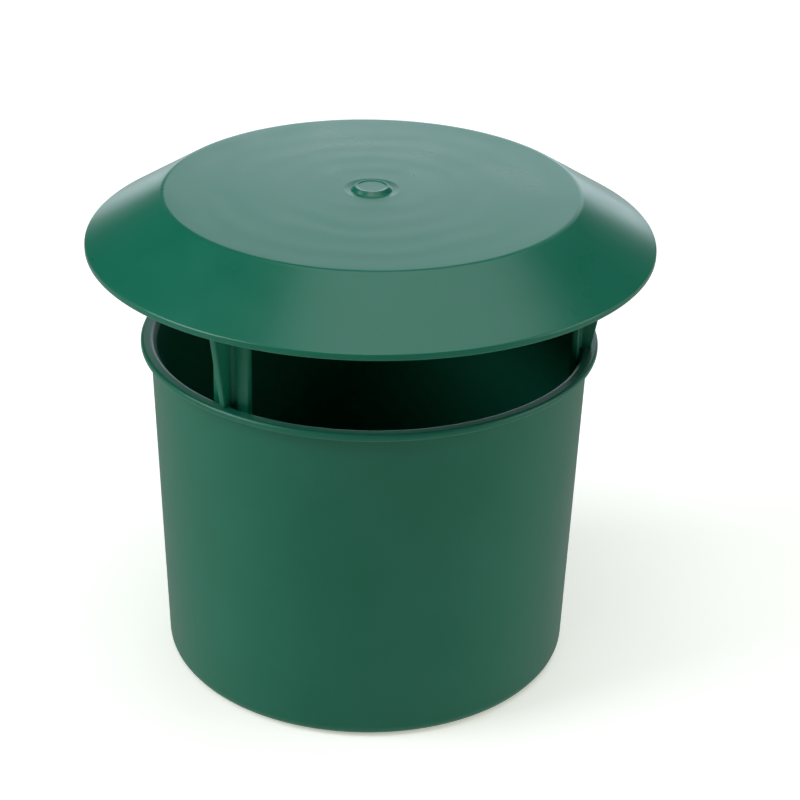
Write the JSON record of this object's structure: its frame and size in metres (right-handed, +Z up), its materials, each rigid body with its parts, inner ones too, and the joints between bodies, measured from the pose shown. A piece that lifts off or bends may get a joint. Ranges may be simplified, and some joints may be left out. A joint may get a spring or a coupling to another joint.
{
  "type": "insect bait trap",
  "caption": "Round moulded bait trap: an open cup with a flared lip, shaded by a wide lift-off rain roof on legs that stand in the cup's mouth.",
  "frame": {"origin": "centre of the cup's foot, on the surface it stands on", "axes": "+Z up along the cup's axis, -Y towards the viewer"},
  "size_m": [0.11, 0.11, 0.099],
  "materials": {
    "cup": "semi-gloss moulded polypropylene",
    "roof_lid": "semi-gloss moulded polypropylene"
  },
  "bodies": {
    "cup": {"cup": "cup"},
    "roof_lid": {"roof_lid": "roof_lid"}
  },
  "joints": [
    {"name": "roof_lift", "type": "slide", "parent": "cup", "child": "roof_lid", "axis": [0, 0, 1], "range_m": [0, 0.06]}
  ]
}
